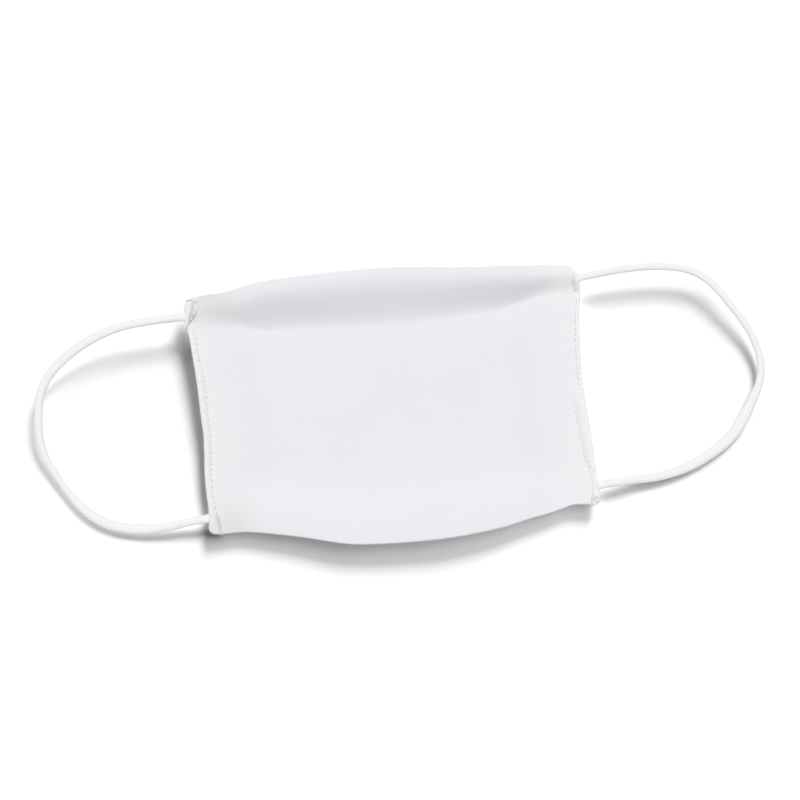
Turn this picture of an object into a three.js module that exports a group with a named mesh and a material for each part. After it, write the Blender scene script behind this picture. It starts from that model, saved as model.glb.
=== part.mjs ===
// Reusable cloth face mask with two elastic ear loops, lying on a table with its edges curled up.
// Millimetres, +Z up. The origin is the middle of the mask's footprint, on the table top.
// +X runs across the mask to its right side, +Y runs to its back (upper) edge.
import * as THREE from 'three';

// Driving sizes
const panelWidth = 184;
const panelDepth = 114;
const clothThickness = 1.6;
const hemWall = 1.0;
const fitGap = 0.3;
const hemOverrun = 0.6;
const cornerRadius = 2.6;

// How far in from its edge the cloth starts to lift off the table, and the shape of the ridge
const frontReach = 32;
const sideReach = 38;
const ridgeCrest = 4.5;
const ridgeDroop = 0.12;

// Ear loops: flat oval elastic
const elasticWidth = 3.8;
const elasticHeight = 2.6;
const elasticSides = 8;
const elasticSteps = 38;

// Steps of the panel's faces, and the thin rolled rim round it
const stepsAcross = 38;
const stepsAlong = 30;
const crowdingAcross = 0.09;
const crowdingAlong = 0.07;
const rimWidth = 0.9;
const rimThinning = 0.55;

// Sections across the mask: its back and front edges, the height of the ridge along the back,
// the distance from the edge at which the ridge starts, and the lift of the front edge
const sections = [
  { x: -92, back: 57.7, front: -54.3, ridge: 7.6, reach: 21, lift: 4.0 },
  { x: -76, back: 60.9, front: -54.8, ridge: 8.0, reach: 21, lift: 4.2 },
  { x: -50, back: 65.3, front: -59.3, ridge: 8.4, reach: 23, lift: 5.5 },
  { x: -25, back: 67.0, front: -65.2, ridge: 8.6, reach: 26, lift: 6.5 },
  { x: 0, back: 67.2, front: -66.9, ridge: 8.5, reach: 27, lift: 7.0 },
  { x: 25, back: 65.8, front: -66.2, ridge: 8.1, reach: 25, lift: 7.0 },
  { x: 50, back: 64.0, front: -62.5, ridge: 7.6, reach: 21, lift: 6.0 },
  { x: 75, back: 61.9, front: -56.6, ridge: 7.0, reach: 17, lift: 4.5 },
  { x: 92, back: 59.1, front: -55.2, ridge: 6.4, reach: 15.5, lift: 3.8 },
];

// Stations along the two hemmed sides: the edge line, its lift, and the width of the folded hem
const sides = [
  { y: -57, left: -89.9, right: 93.4, leftLift: 3.4, rightLift: 3.4, leftHem: 3.4, rightHem: 4.0 },
  { y: -42, left: -89.9, right: 93.4, leftLift: 3.8, rightLift: 3.6, leftHem: 3.2, rightHem: 4.4 },
  { y: -22, left: -90.6, right: 93.0, leftLift: 5.0, rightLift: 3.5, leftHem: 3.2, rightHem: 5.6 },
  { y: 0, left: -90.6, right: 92.0, leftLift: 6.2, rightLift: 3.5, leftHem: 3.2, rightHem: 5.2 },
  { y: 20, left: -91.7, right: 92.7, leftLift: 7.2, rightLift: 4.0, leftHem: 3.2, rightHem: 3.4 },
  { y: 36, left: -93.3, right: 93.8, leftLift: 7.8, rightLift: 4.5, leftHem: 3.4, rightHem: 3.2 },
  { y: 46, left: -94.6, right: 94.4, leftLift: 7.9, rightLift: 4.8, leftHem: 5.4, rightHem: 3.4 },
  { y: 57, left: -95.0, right: 94.7, leftLift: 7.6, rightLift: 4.8, leftHem: 6.0, rightHem: 3.8 },
];

// Middle line of each ear loop, from its back corner round to its front corner
const leftLoopRoute = [
  [-95.2, 51.1, 10.6], [-103.4, 50.6, 10.8], [-113.4, 50.0, 10.8], [-124.4, 48.9, 10.5],
  [-134.8, 46.1, 10.0], [-145.4, 41.2, 9.3], [-155.1, 34.6, 8.4], [-162.0, 27.6, 7.4],
  [-166.1, 19.2, 6.3], [-167.6, 8.3, 5.0], [-167.4, -1.9, 3.8], [-165.3, -10.3, 2.8],
  [-161.3, -18.5, 2.0], [-156.2, -27.0, 1.5], [-149.8, -35.4, 1.4], [-143.2, -41.4, 1.4],
  [-134.4, -46.0, 1.5], [-124.0, -48.4, 1.8], [-115.0, -48.9, 2.4], [-106.1, -48.4, 3.1],
  [-98.1, -47.5, 4.0], [-90.4, -46.9, 4.7],
];
const rightLoopRoute = [
  [95.2, 54.9, 8.0], [104.5, 56.1, 8.3], [116.6, 57.2, 8.6], [129.6, 57.4, 8.6],
  [140.6, 56.3, 8.4], [149.6, 53.8, 8.1], [155.9, 49.8, 7.7], [161.5, 43.6, 7.2],
  [166.4, 36.0, 6.6], [171.0, 28.7, 5.9], [174.9, 20.8, 5.1], [177.2, 12.7, 4.3],
  [177.9, 4.8, 3.5], [176.2, -3.3, 2.8], [172.0, -11.0, 2.2], [167.0, -19.0, 1.7],
  [161.6, -26.0, 1.4], [154.6, -32.0, 1.4], [147.0, -36.6, 1.4], [138.6, -40.6, 1.4],
  [130.0, -43.2, 1.6], [120.6, -44.8, 2.0], [111.1, -45.4, 2.7], [102.8, -46.1, 3.6],
  [93.9, -46.7, 4.5],
];

// Smooth line through one named column of a table, read anywhere along its key column
function columnCurve(rows, key, name) {
  const slope = (i) => {
    const before = rows[Math.max(i - 1, 0)];
    const after = rows[Math.min(i + 1, rows.length - 1)];
    return (after[name] - before[name]) / (after[key] - before[key]);
  };
  return (place) => {
    const i = rows.slice(1, -1).filter((row) => row[key] <= place).length;
    const from = rows[i];
    const to = rows[i + 1];
    const length = to[key] - from[key];
    const t = THREE.MathUtils.clamp((place - from[key]) / length, 0, 1);
    const ease = t * t * (3 - 2 * t);
    const bend = slope(i) * t * (1 - t) ** 2 - slope(i + 1) * t * t * (1 - t);
    return from[name] + (to[name] - from[name]) * ease + bend * length;
  };
}

const edge = {
  back: columnCurve(sections, 'x', 'back'),
  front: columnCurve(sections, 'x', 'front'),
  ridge: columnCurve(sections, 'x', 'ridge'),
  reach: columnCurve(sections, 'x', 'reach'),
  lift: columnCurve(sections, 'x', 'lift'),
};
const left = {
  inward: 1,
  line: columnCurve(sides, 'y', 'left'),
  lift: columnCurve(sides, 'y', 'leftLift'),
  hem: columnCurve(sides, 'y', 'leftHem'),
};
const right = {
  inward: -1,
  line: columnCurve(sides, 'y', 'right'),
  lift: columnCurve(sides, 'y', 'rightLift'),
  hem: columnCurve(sides, 'y', 'rightHem'),
};

// How far a side edge draws in near a corner, where the hem's end is rounded
function cornerInset(y) {
  const past = Math.abs(y) - (panelDepth / 2 + hemOverrun - cornerRadius);
  const turn = THREE.MathUtils.clamp(past / cornerRadius, 0, 0.96);
  return cornerRadius * (1 - Math.sqrt(1 - turn * turn));
}

// The edges rise smoothly from nothing at their reach to their full lift at the edge
function curl(distance, reach) {
  return THREE.MathUtils.smoothstep(reach - distance, 0, reach);
}

// The ridge climbs to a crest just inside the back edge, then droops a little
function ridge(distance, reach) {
  const climb = THREE.MathUtils.smoothstep(reach - distance, 0, reach - ridgeCrest);
  const past = Math.max(ridgeCrest - distance, 0) / ridgeCrest;
  return climb - ridgeDroop * past * past;
}

// A point of the cloth's middle surface: across runs 0 to 1 from the left edge to the right,
// and along runs 0 to 1 from the front edge to the back. The four rises blend at the corners.
function clothPoint(across, along) {
  const flatX = (across - 0.5) * panelWidth;
  const flatY = (along - 0.5) * panelDepth;
  const leftX = left.line(flatY) + cornerInset(flatY);
  const rightX = right.line(flatY) - cornerInset(flatY);
  const frontY = edge.front(flatX);
  const backY = edge.back(flatX);
  const x = leftX + (rightX - leftX) * across;
  const y = frontY + (backY - frontY) * along;
  const rises = [
    edge.ridge(flatX) * ridge(backY - y, edge.reach(flatX)),
    edge.lift(flatX) * curl(y - frontY, frontReach),
    left.lift(flatY) * curl(x - leftX, sideReach),
    right.lift(flatY) * curl(rightX - x, sideReach),
  ];
  const rise = Math.cbrt(rises.reduce((sum, height) => sum + height ** 3, 0));
  return new THREE.Vector3(x, y, rise + clothThickness / 2);
}

// The same point moved off the middle surface by a distance, square to the cloth
function offsetPoint(across, along, distance) {
  const step = 0.002;
  const acrossLine = clothPoint(across + step, along).sub(clothPoint(across - step, along));
  const alongLine = clothPoint(across, along + step).sub(clothPoint(across, along - step));
  const normal = acrossLine.cross(alongLine).normalize();
  return clothPoint(across, along).addScaledVector(normal, distance);
}

// Places from 0 to 1 that crowd towards both ends, where the cloth curls
function stations(count, crowding) {
  return Array.from({ length: count + 1 }, (_, i) => {
    const t = i / count;
    return t - crowding * Math.sin(2 * Math.PI * t);
  });
}

// The same places between two ends, with one more close to each end for the rim
function rimmedStations(count, crowding, inset, rim) {
  const places = stations(count, crowding).map((t) => inset + t * (1 - 2 * inset));
  return [inset, inset + rim, ...places.slice(1, -1), 1 - inset - rim, 1 - inset];
}

const alongStations = rimmedStations(stepsAlong, crowdingAlong, 0, rimWidth / panelDepth);

const cloth = new THREE.MeshStandardMaterial({ color: 0xebecf0, roughness: 0.9, metalness: 0 });
const hemCloth = new THREE.MeshStandardMaterial({ color: 0xeeeef0, roughness: 0.9, metalness: 0 });
const elastic = new THREE.MeshStandardMaterial({ color: 0xf3f2ec, roughness: 0.8, metalness: 0 });

function quad(a, b, c, d) {
  return [a, b, c, a, c, d];
}

function meshOf(name, points, faces, material) {
  const places = points.flatMap((point) => point.toArray());
  const geometry = new THREE.BufferGeometry();
  geometry.setAttribute('position', new THREE.Float32BufferAttribute(places, 3));
  geometry.setIndex(faces.flat());
  geometry.computeVertexNormals();
  const mesh = new THREE.Mesh(geometry, material);
  mesh.name = name;
  return mesh;
}

// The panel: two layers of cloth lying together, whose edges under the hems stop short of the
// hems' outer walls
function makePanel() {
  const inset = (hemWall + fitGap) / panelWidth;
  const acrossStations = rimmedStations(stepsAcross, crowdingAcross, inset, rimWidth / panelWidth);
  const columns = acrossStations.length;
  const rows = alongStations.length;
  const points = [];
  for (const face of [1, -1]) {
    for (let j = 0; j < rows; j += 1) {
      for (let i = 0; i < columns; i += 1) {
        const onRim = i === 0 || j === 0 || i === columns - 1 || j === rows - 1;
        const half = (clothThickness / 2) * (onRim ? rimThinning : 1);
        points.push(offsetPoint(acrossStations[i], alongStations[j], face * half));
      }
    }
  }
  const upper = (i, j) => j * columns + i;
  const under = (i, j) => upper(i, j) + rows * columns;
  const faces = [];
  for (let j = 0; j < rows - 1; j += 1) {
    for (let i = 0; i < columns - 1; i += 1) {
      faces.push(quad(upper(i, j), upper(i + 1, j), upper(i + 1, j + 1), upper(i, j + 1)));
      faces.push(quad(under(i, j), under(i, j + 1), under(i + 1, j + 1), under(i + 1, j)));
    }
  }
  const rim = [];
  for (let i = 0; i < columns - 1; i += 1) rim.push([i, 0]);
  for (let j = 0; j < rows - 1; j += 1) rim.push([columns - 1, j]);
  for (let i = columns - 1; i > 0; i -= 1) rim.push([i, rows - 1]);
  for (let j = rows - 1; j > 0; j -= 1) rim.push([0, j]);
  rim.forEach((place, k) => {
    const next = rim[(k + 1) % rim.length];
    faces.push(quad(upper(...place), under(...place), under(...next), upper(...next)));
  });
  return meshOf('mask_panel', points, faces, cloth);
}

// A side hem: a folded band round the panel's edge, above it, outside it and below it.
// The section's upper half lists each outer point with the inner point behind it: inward is a
// share of the hem's width, and up is the distance from the cloth's middle surface.
function makeHem(name, side) {
  const slot = clothThickness / 2 + fitGap;
  const skin = slot + hemWall;
  const upperHalf = [
    { outer: { inward: 1, up: skin }, inner: { inward: 1, up: slot } },
    { outer: { inward: 0.5, up: skin }, inner: { inward: 0.6, up: slot } },
    { outer: { inward: 0.16, up: skin * 0.94 }, inner: { inward: 0, up: slot } },
    { outer: { inward: 0, up: skin * 0.6 }, inner: { inward: 0, up: slot * 0.5 } },
  ];
  const mirrored = ({ inward, up }) => ({ inward, up: -up });
  const lowerHalf = upperHalf.map(({ outer, inner }) => ({ outer: mirrored(outer), inner: mirrored(inner) }));
  const section = [...upperHalf, ...lowerHalf.toReversed()];
  const overrun = hemOverrun / panelDepth;
  const places = [-overrun, ...alongStations, 1 + overrun];
  const points = [];
  for (const along of places) {
    const flatY = (along - 0.5) * panelDepth;
    const width = side.hem(flatY) - cornerInset(flatY);
    const place = (distance, up) => {
      const share = distance / panelWidth;
      points.push(offsetPoint(side.inward > 0 ? share : 1 - share, along, up));
    };
    for (const { outer, inner } of section) {
      place(outer.inward * width, outer.up);
      place(hemWall + inner.inward * (width - hemWall), inner.up);
    }
  }
  const ring = 2 * section.length;
  const outerAt = (j, k) => j * ring + 2 * k;
  const innerAt = (j, k) => outerAt(j, k) + 1;
  const lastPlace = places.length - 1;
  const lastRow = section.length - 1;
  const faces = [];
  for (let k = 0; k < lastRow; k += 1) {
    for (let j = 0; j < lastPlace; j += 1) {
      faces.push(quad(outerAt(j, k), outerAt(j + 1, k), outerAt(j + 1, k + 1), outerAt(j, k + 1)));
      faces.push(quad(innerAt(j, k), innerAt(j, k + 1), innerAt(j + 1, k + 1), innerAt(j + 1, k)));
    }
    faces.push(quad(outerAt(0, k), outerAt(0, k + 1), innerAt(0, k + 1), innerAt(0, k)));
    const end = lastPlace;
    faces.push(quad(outerAt(end, k), innerAt(end, k), innerAt(end, k + 1), outerAt(end, k + 1)));
  }
  for (let j = 0; j < lastPlace; j += 1) {
    faces.push(quad(outerAt(j, 0), innerAt(j, 0), innerAt(j + 1, 0), outerAt(j + 1, 0)));
    const row = lastRow;
    faces.push(quad(outerAt(j, row), outerAt(j + 1, row), innerAt(j + 1, row), innerAt(j, row)));
  }
  const outward = side.inward > 0 ? faces : faces.map((face) => face.toReversed());
  return meshOf(name, points, outward, hemCloth);
}

// An ear loop: the elastic's oval section swept along its route
function makeLoop(name, route) {
  const corners = Array.from({ length: elasticSides }, (_, k) => {
    const angle = (2 * Math.PI * (k + 0.5)) / elasticSides;
    return new THREE.Vector2(Math.cos(angle) * elasticHeight, Math.sin(angle) * elasticWidth).divideScalar(2);
  });
  const line = new THREE.CatmullRomCurve3(route.map((point) => new THREE.Vector3(...point)));
  const options = { extrudePath: line, steps: elasticSteps, bevelEnabled: false };
  const mesh = new THREE.Mesh(new THREE.ExtrudeGeometry(new THREE.Shape(corners), options), elastic);
  mesh.name = name;
  return mesh;
}

const mask = new THREE.Group();
mask.add(makePanel());
mask.add(makeHem('side_hem_left', left));
mask.add(makeHem('side_hem_right', right));
mask.add(makeLoop('ear_loop_left', leftLoopRoute));
mask.add(makeLoop('ear_loop_right', rightLoopRoute));

export default mask;
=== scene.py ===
"""Looks for the reusable cloth face mask: a two-layer twill panel with rolled seams, side hems
folded over and stitched down, a folded tab at one corner, bar tacks, and two ribbed elastic ear
loops, lying on a white floor.

Sizes and tables are in millimetres, as in the part's source, and MM turns them into metres. A
place on the cloth is given flat, as it would be before it was laid down: x to the right and y to
the back from the panel's middle, or inward from a side's edge and y, with a height above or below
the cloth's middle surface."""

import math

import bmesh
import bpy
import numpy as np
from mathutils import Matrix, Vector, noise


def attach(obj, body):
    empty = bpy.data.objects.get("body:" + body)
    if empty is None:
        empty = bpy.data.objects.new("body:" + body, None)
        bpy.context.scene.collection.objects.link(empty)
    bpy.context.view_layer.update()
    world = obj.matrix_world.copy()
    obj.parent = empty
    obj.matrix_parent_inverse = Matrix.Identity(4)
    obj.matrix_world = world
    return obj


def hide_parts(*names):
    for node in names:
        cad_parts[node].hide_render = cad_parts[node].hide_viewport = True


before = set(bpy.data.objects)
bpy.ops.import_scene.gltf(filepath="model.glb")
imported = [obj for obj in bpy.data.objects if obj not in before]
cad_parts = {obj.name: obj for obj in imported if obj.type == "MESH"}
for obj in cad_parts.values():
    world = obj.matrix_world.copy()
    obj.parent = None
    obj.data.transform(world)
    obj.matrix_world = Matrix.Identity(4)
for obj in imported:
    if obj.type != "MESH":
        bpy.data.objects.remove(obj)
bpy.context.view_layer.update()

MM = 0.001

# Driving sizes, as in the part's source
PANEL_WIDTH = 184
PANEL_DEPTH = 114
CLOTH_HALF = 0.8
FRONT_REACH = 32
SIDE_REACH = 38
RIDGE_CREST = 4.5
RIDGE_DROOP = 0.12

# The panel's sides stop inside the hems, and its ends under the hems are tucked in a little. Its
# mesh is finer within a border.
PANEL_INSET = 1.3
HEM_TUCK = 0.8
TUCK_SLOPE = 0.8
PANEL_BORDER = 9

# Its two layers end in rolled lips, which turn through these degrees to the groove between them
LIP_RADIUS = 0.4
LIP_TURNS = (25, 50, 75, 100, 125, 150)
GROOVE_DEPTH = 0.05

# Where the back seam's unevenness starts and the front seam's ends, from 0 at the front to 1 at
# the back
BACK_SEAM_FROM = 0.8
FRONT_SEAM_TO = 0.1

# How far round the outline's rounded corners turn, as a share of a quarter circle's reach
CORNER_TURN = 0.98

# Unevenness of the cloth: a rounding that keeps the waves from dipping, in square millimetres,
# and puckers that run in from the sides, slanting, and fade
WAVE_ROUNDING = 0.02
PUCKER_HEIGHT = 0.25
PUCKER_START = 3
PUCKER_FADE = 4
PUCKER_PITCH = 2.6
PUCKER_STRETCH = 4
PUCKER_SLANT = 0.35
PUCKER_SEED = 11.3

# Hems: cloth folded round the panel's side and stitched through, its free edge on the underside
HEM_CLEAR = 0.05
HEM_PLY = 0.35
HEM_INSIDE = CLOTH_HALF + HEM_CLEAR
HEM_OUTSIDE = HEM_INSIDE + HEM_PLY
HEM_FULLNESS = 0.12
HEM_SLOPE = 1.9
HEM_FOLD = 1.5
HEM_TURN = 0.7
HEM_OVER_STITCHES = 0.03
HEM_FALL = 0.5
HEM_PAST_STITCHES = 0.5
FREE_EDGE_PAST_STITCHES = 1.5
FREE_EDGE_ROUND = 0.4
HEM_END_ROUND = 0.8
HEM_END_LEAST = 0.2
LEAST_STITCH_INWARD = 1.8
LEAST_PLY = 0.12
HEM_STATIONS = 340
HEM_PLACES = 26
CROWDING = 0.85

# Stitching: how deep and how wide it draws the cloth down, and its plain stitches
PINCH_DEPTH = 0.22
PINCH_WIDTH = 0.65
PINCH_VARIES = 0.25
STITCH_PITCH = 2.7
STITCH_HALF = 1.05
STITCH_SLANT = 0.12

# Threads: their round section and its places along them, how far past the stitching they lie on
# the panel, how far they bow up from the cloth, and how the bar tacks are wound
THREAD_RADIUS = 0.22
THREAD_SIDES = 6
THREAD_STEP = 0.25
THREAD_LEAST_RINGS = 7
THREAD_UV_SIDE = 0.2
PANEL_PAST_STITCHES = 0.3
STITCH_BOW = 0.8 * THREAD_RADIUS
LOOSE_BOW = 0.1
RING_BOW = 0.2
RING_LIFT = 0.15
RING_PLACES = 30
TACK_PITCH = 0.36
TACK_THREAD_RADIUS = 0.2
TACK_LIFT = 0.12

# The corner tab's wall, how it settles from the hem to the panel past the stitching, and how it
# thins at its ends and at its inner tip
TAB_PLY = 0.22
TAB_LEAST_PLY = 0.05
TAB_SINKS = 0.85
TAB_FOLD = 2.0
TAB_SETTLES_FROM = 0.6
TAB_SETTLES_TO = 1.6
TAB_END_ROUND = 0.6
TAB_END_LEAST = 0.1
TAB_TIP = 0.8
TAB_TIP_LEAST = 0.2
TAB_UNDER_END = 2.0
TAB_INSIDE_START = 0.4
TAB_PLACES_OVER = 40
TAB_PLACES_UNDER = 16
TAB_STATIONS = 32

# Weave: the twill's slanting lines, in degrees, the yarns that cross them, and the shade painted in
# its grooves
TWILL_PITCH = 1.2
TWILL_SLANT = 112
YARN_PITCH = 0.45
YARN_HEIGHT = 0.12
FUZZ_HEIGHT = 0.35
TWILL_BESIDE_HEM = 2.2
TWILL_PAINTED_SHADE = 0.975

# Where the cloth's looks change on the way from the panel's middle to its sides, painted light and
# a painted fold highlight among them
TWILL_GROWS = {"low": 74, "high": 86}
PAINTED_LIGHT_BESIDE_HEM = {"low": 64, "high": 86, "at_high": 0.4}
PAINTED_HIGHLIGHT_AT_FOLD = {"low": 88, "high": 91.2}

# Elastic: a flat oval cord with lengthwise ribs, which spreads where the stitching holds it down
ELASTIC_HEIGHT = 2.3
ELASTIC_ROUND = 9.8
ELASTIC_RIBS = 12
RIB_DEPTH = 0.09
POINTS_PER_RIB = 5
ELASTIC_STEP = 0.6
ELASTIC_TUCK = 1.4
ROUTE_POINTS = 41
SPREAD_LENGTH = 6.0
SPREAD_WIDER = 0.15
SPREAD_LOWER = 0.25
KNIT_PITCH = 0.6
KNIT_HEIGHT = 0.3
ELASTIC_FUZZ = 0.5

# The twist of the thread, how deep the bump of each material is, and what their shaders share
TWIST_PITCH = 0.3
TWILL_RELIEF = 0.09
ELASTIC_RELIEF = 0.08
THREAD_RELIEF = 0.03
BUMP_STRENGTH = 0.5
SPECULAR = 0.2
SHEEN_ROUGHNESS = 0.5


def table(columns, rows):
    """A table as one array for each named column."""
    return dict(zip(columns.split(), np.array(rows, float).T))


def tack(*rows):
    """A bar tack's line and width along a side."""
    return table("y inward width", rows)


# The cloth's broad and small waves, and the corners where shade is painted on it: how far round,
# and how strongly
WAVES = table("height size seed", [(0.5, 36, 3.1), (0.12, 14, 7.7)])
PAINTED_CORNER_SHADE = table("x y reach share", [(-80, 57, 19, 0.9), (-70, 62, 14, 0.4), (-82, -56, 22, 0.8)])

# Sections across the mask: its back and front edges, the height of the ridge along the back,
# the distance from the edge at which the ridge starts, and the lift of the front edge
SECTIONS = table("x back front ridge reach lift", [
    (-92, 57.7, -54.3, 7.6, 21, 4.0),
    (-76, 60.9, -54.8, 8.0, 21, 4.2),
    (-50, 65.3, -59.3, 8.4, 23, 5.5),
    (-25, 67.0, -65.2, 8.6, 26, 6.5),
    (0, 67.2, -66.9, 8.5, 27, 7.0),
    (25, 65.8, -66.2, 8.1, 25, 7.0),
    (50, 64.0, -62.5, 7.6, 21, 6.0),
    (75, 61.9, -56.6, 7.0, 17, 4.5),
    (92, 59.1, -55.2, 6.4, 15.5, 3.8),
])

# Stations along the two hemmed sides: the edge line and its lift
SIDES = table("y left right left_lift right_lift", [
    (-57, -89.9, 93.4, 3.4, 3.4),
    (-42, -89.9, 93.4, 3.8, 3.6),
    (-22, -90.6, 93.0, 5.0, 3.5),
    (0, -90.6, 92.0, 6.2, 3.5),
    (20, -91.7, 92.7, 7.2, 4.0),
    (36, -93.3, 93.8, 7.8, 4.5),
    (46, -94.6, 94.4, 7.9, 4.8),
    (57, -95.0, 94.7, 7.6, 4.8),
])

# The panel's corners: their rounding, and how far the hem's end stands past the panel there
CORNERS = {
    ("left", "front"): {"radius": 3.0, "overrun": 0.4},
    ("left", "back"): {"radius": 2.6, "overrun": 1.1},
    ("right", "front"): {"radius": 3.6, "overrun": 0.4},
    ("right", "back"): {"radius": 5.5, "overrun": 0.3},
}

# Where the hems stand out from the edge line or draw in, and along what length
BULGES = {
    "left": table("y out length", [
        (-54, 0.3, 4), (-46, -0.1, 3), (-35, 0.35, 9), (-18, -0.5, 6), (-9, -0.6, 5), (40, -0.2, 5),
        (47.5, 0.3, 3), (57.5, -0.5, 4),
    ]),
    "right": table("y out length", [(-53.5, 0.4, 3.5), (48, 1.2, 8)]),
}

# How far the seams of the back and front edges stand out from the sections' edge lines
EDGE_OUT = {
    "back": table("x out", [
        (-92, -0.2), (-88, 1.5), (-84, 1.8), (-74, 0.6), (-60, 1.5), (-36, 0.7), (0, 0.7),
        (20, 0.8), (36, 0.3), (56, 0.75), (64, 0.85), (70, 0.8), (76, 1.4), (80, 1.7), (84, 1.8),
        (88, 2.05), (92, 1.4),
    ]),
    "front": table("x out", [
        (-92, 0.2), (-86, 0.75), (-76, 0.3), (-50, 0.6), (-32, 0.65), (-10, 0.15), (30, 0.2),
        (46, 0.4), (58, 0.1), (68, 0.65), (75, 0.4), (81, -0.4), (86, 0.2), (92, 1.0),
    ]),
}

# The lines of stitching along the two hems, inward from the sides' edges
STITCHING = {
    "left": table("y inward", [
        (-58, 6.2), (-56.1, 5.9), (-52.8, 5.3), (-50.8, 4.4), (-47.4, 3.6), (-44.1, 3.3),
        (-41.4, 3.0), (-33, 3.2), (0, 3.4), (21.4, 3.8), (24, 2.9), (34.9, 3.0), (40, 2.8),
        (44.4, 2.1), (46.8, 2.2), (48.6, 2.6), (51.8, 3.4), (55.3, 4.0), (58, 4.1),
    ]),
    "right": table("y inward", [
        (-58, 4.7), (-53.4, 3.9), (-51.1, 2.9), (-47.6, 2.4), (-41.9, 2.7), (-38.5, 3.8),
        (-36, 4.4), (-32, 4.7), (-26.4, 5.3), (-17.1, 5.6), (-9.8, 5.7), (-6.5, 6.0), (-2.6, 3.2),
        (1.8, 2.2), (21.4, 2.3), (27, 2.0), (44.1, 1.6), (46.3, 2.3), (47.9, 3.0), (51, 3.1),
        (58, 3.1),
    ]),
}

# The runs of plain stitches along those lines, between the bar tacks and where a seam restarts
STITCH_RUNS = {"left": [(-46, 44)], "right": [(-51.5, -6.5), (-2.6, 45)]}

# Bar tacks and thick places of the stitching, each from its front end to its back end
OLIVE_TACKS = {
    "left": [
        tack((-56.3, 5.8, 0.5), (-54, 5.4, 1.0), (-51.5, 4.8, 1.3), (-49, 4.1, 0.9),
             (-47, 3.7, 0.3)),
        tack((46.4, 1.9, 0.4), (47.8, 2.0, 0.8), (49.4, 2.2, 0.8), (51, 2.8, 0.5)),
        tack((48.4, 4.6, 0.3), (49.5, 4.65, 0.5), (50.6, 4.7, 0.3)),
    ],
    "right": [
        tack((48, 2.8, 0.25), (49.8, 2.9, 0.3), (51.6, 2.9, 0.2)),
        tack((45.6, 2.4, 0.4), (46.5, 2.4, 0.55), (47.4, 2.4, 0.4)),
    ],
}
TAN_TACKS = {
    "left": [tack((51, 3.4, 0.5), (52.6, 3.6, 0.7), (54.3, 3.9, 0.6))],
    "right": [tack((-57.0, 4.4, 0.8), (-55.4, 4.1, 0.8), (-53.4, 3.7, 0.5), (-51.6, 3.3, 0.3))],
}

# Dark thread marks, each a line of places (inward, y), and a pulled loop of the stitching. The
# marks along the tab's back edge are painted shade: they stand for the shadow in the gap under the
# tab.
DARK_THREADS_AND_SHADE = {
    "left": [
        [(0.1, 44.6), (0.8, 45.8), (1.5, 47.2)],
        [(3.5, 49.4), (4.1, 47.9), (2.7, 46.9)],
        [(3.2, 48.9), (4.0, 48.3)],
        [(0.5, 57.4), (2.0, 56.4), (3.3, 55.5)],
        [(4.2, 54.8), (5.0, 54.2), (6.0, 53.8)],
    ],
    "right": [[(1.7, 28.0), (2.2, 27.7)]],
}
THREAD_LOOP = {"side": "right", "inward": 1.9, "y": -55.0, "radius": 1.0}

# The tab folded over one corner: its front and back ends, inward from the left edge
TAB = table("inward front back", [
    (-0.5, 44.2, 57.0), (0.3, 44.9, 57.8), (1.5, 46.9, 57.6), (2.6, 47.0, 57.3), (4.0, 47.8, 56.8),
    (5.5, 49.3, 56.0), (6.8, 50.6, 55.0),
])

# Middle line of each ear loop, from its back corner round to its front corner
LEFT_LOOP = [
    (-95.2, 51.1, 10.6), (-103.4, 50.6, 10.8), (-113.4, 50, 10.8), (-124.4, 48.9, 10.5),
    (-134.8, 46.1, 10), (-145.4, 41.2, 9.3), (-155.1, 34.6, 8.4), (-162, 27.6, 7.4),
    (-166.1, 19.2, 6.3), (-167.6, 8.3, 5), (-167.4, -1.9, 3.8), (-165.3, -10.3, 2.8),
    (-161.3, -18.5, 2), (-156.2, -27, 1.5), (-149.8, -35.4, 1.4), (-143.2, -41.4, 1.4),
    (-134.4, -46, 1.5), (-124, -48.4, 1.8), (-115, -48.9, 2.4), (-106.1, -48.4, 3.1),
    (-98.1, -47.5, 4), (-90.4, -46.9, 4.7),
]
RIGHT_LOOP = [
    (95.2, 54.9, 8), (104.5, 56.1, 8.3), (116.6, 57.2, 8.6), (129.6, 57.4, 8.6),
    (140.6, 56.3, 8.4), (149.6, 53.8, 8.1), (155.9, 49.8, 7.7), (161.5, 43.6, 7.2),
    (166.4, 36, 6.6), (171, 28.7, 5.9), (174.9, 20.8, 5.1), (177.2, 12.7, 4.3), (177.9, 4.8, 3.5),
    (176.2, -3.3, 2.8), (172, -11, 2.2), (167, -19, 1.7), (161.6, -26, 1.4), (154.6, -32, 1.4),
    (147, -36.6, 1.4), (138.6, -40.6, 1.4), (130, -43.2, 1.6), (120.6, -44.8, 2),
    (111.1, -45.4, 2.7), (102.8, -46.1, 3.6), (93.9, -46.7, 4.5),
]

# How wide the elastic shows at distances along each loop: more on its flat, and less where it
# turns onto its edge
ELASTIC_SHOWS = {
    "left": table("far width", [
        (0, 4.0), (18, 4.0), (45, 4.6), (60, 4.8), (72, 4.8), (90, 4.2), (104, 4.0), (118, 3.5),
        (130, 3.4), (141, 4.1), (152, 4.8), (165, 5.1), (180, 4.8), (193, 4.2), (209, 3.8),
    ]),
    "right": table("far width", [
        (0, 3.6), (25, 3.7), (45, 3.6), (62, 3.9), (85, 3.6), (112, 3.5), (124, 3.8), (134, 4.7),
        (147, 5.4), (162, 5.1), (178, 4.8), (195, 4.5), (208, 4.0), (225, 3.8),
    ]),
}


# ---- The laid cloth ----------------------------------------------------------

def smoothstep(value, low, high):
    """0 at low, rising smoothly to 1 at high."""
    t = np.clip((value - low) / (high - low), 0, 1)
    return t * t * (3 - 2 * t)


def rounded(distance, radius):
    """0 at an edge, rising in a quarter circle to 1 at the radius."""
    return np.sqrt(1 - (1 - np.clip(distance / radius, 0, 1)) ** 2)


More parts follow.
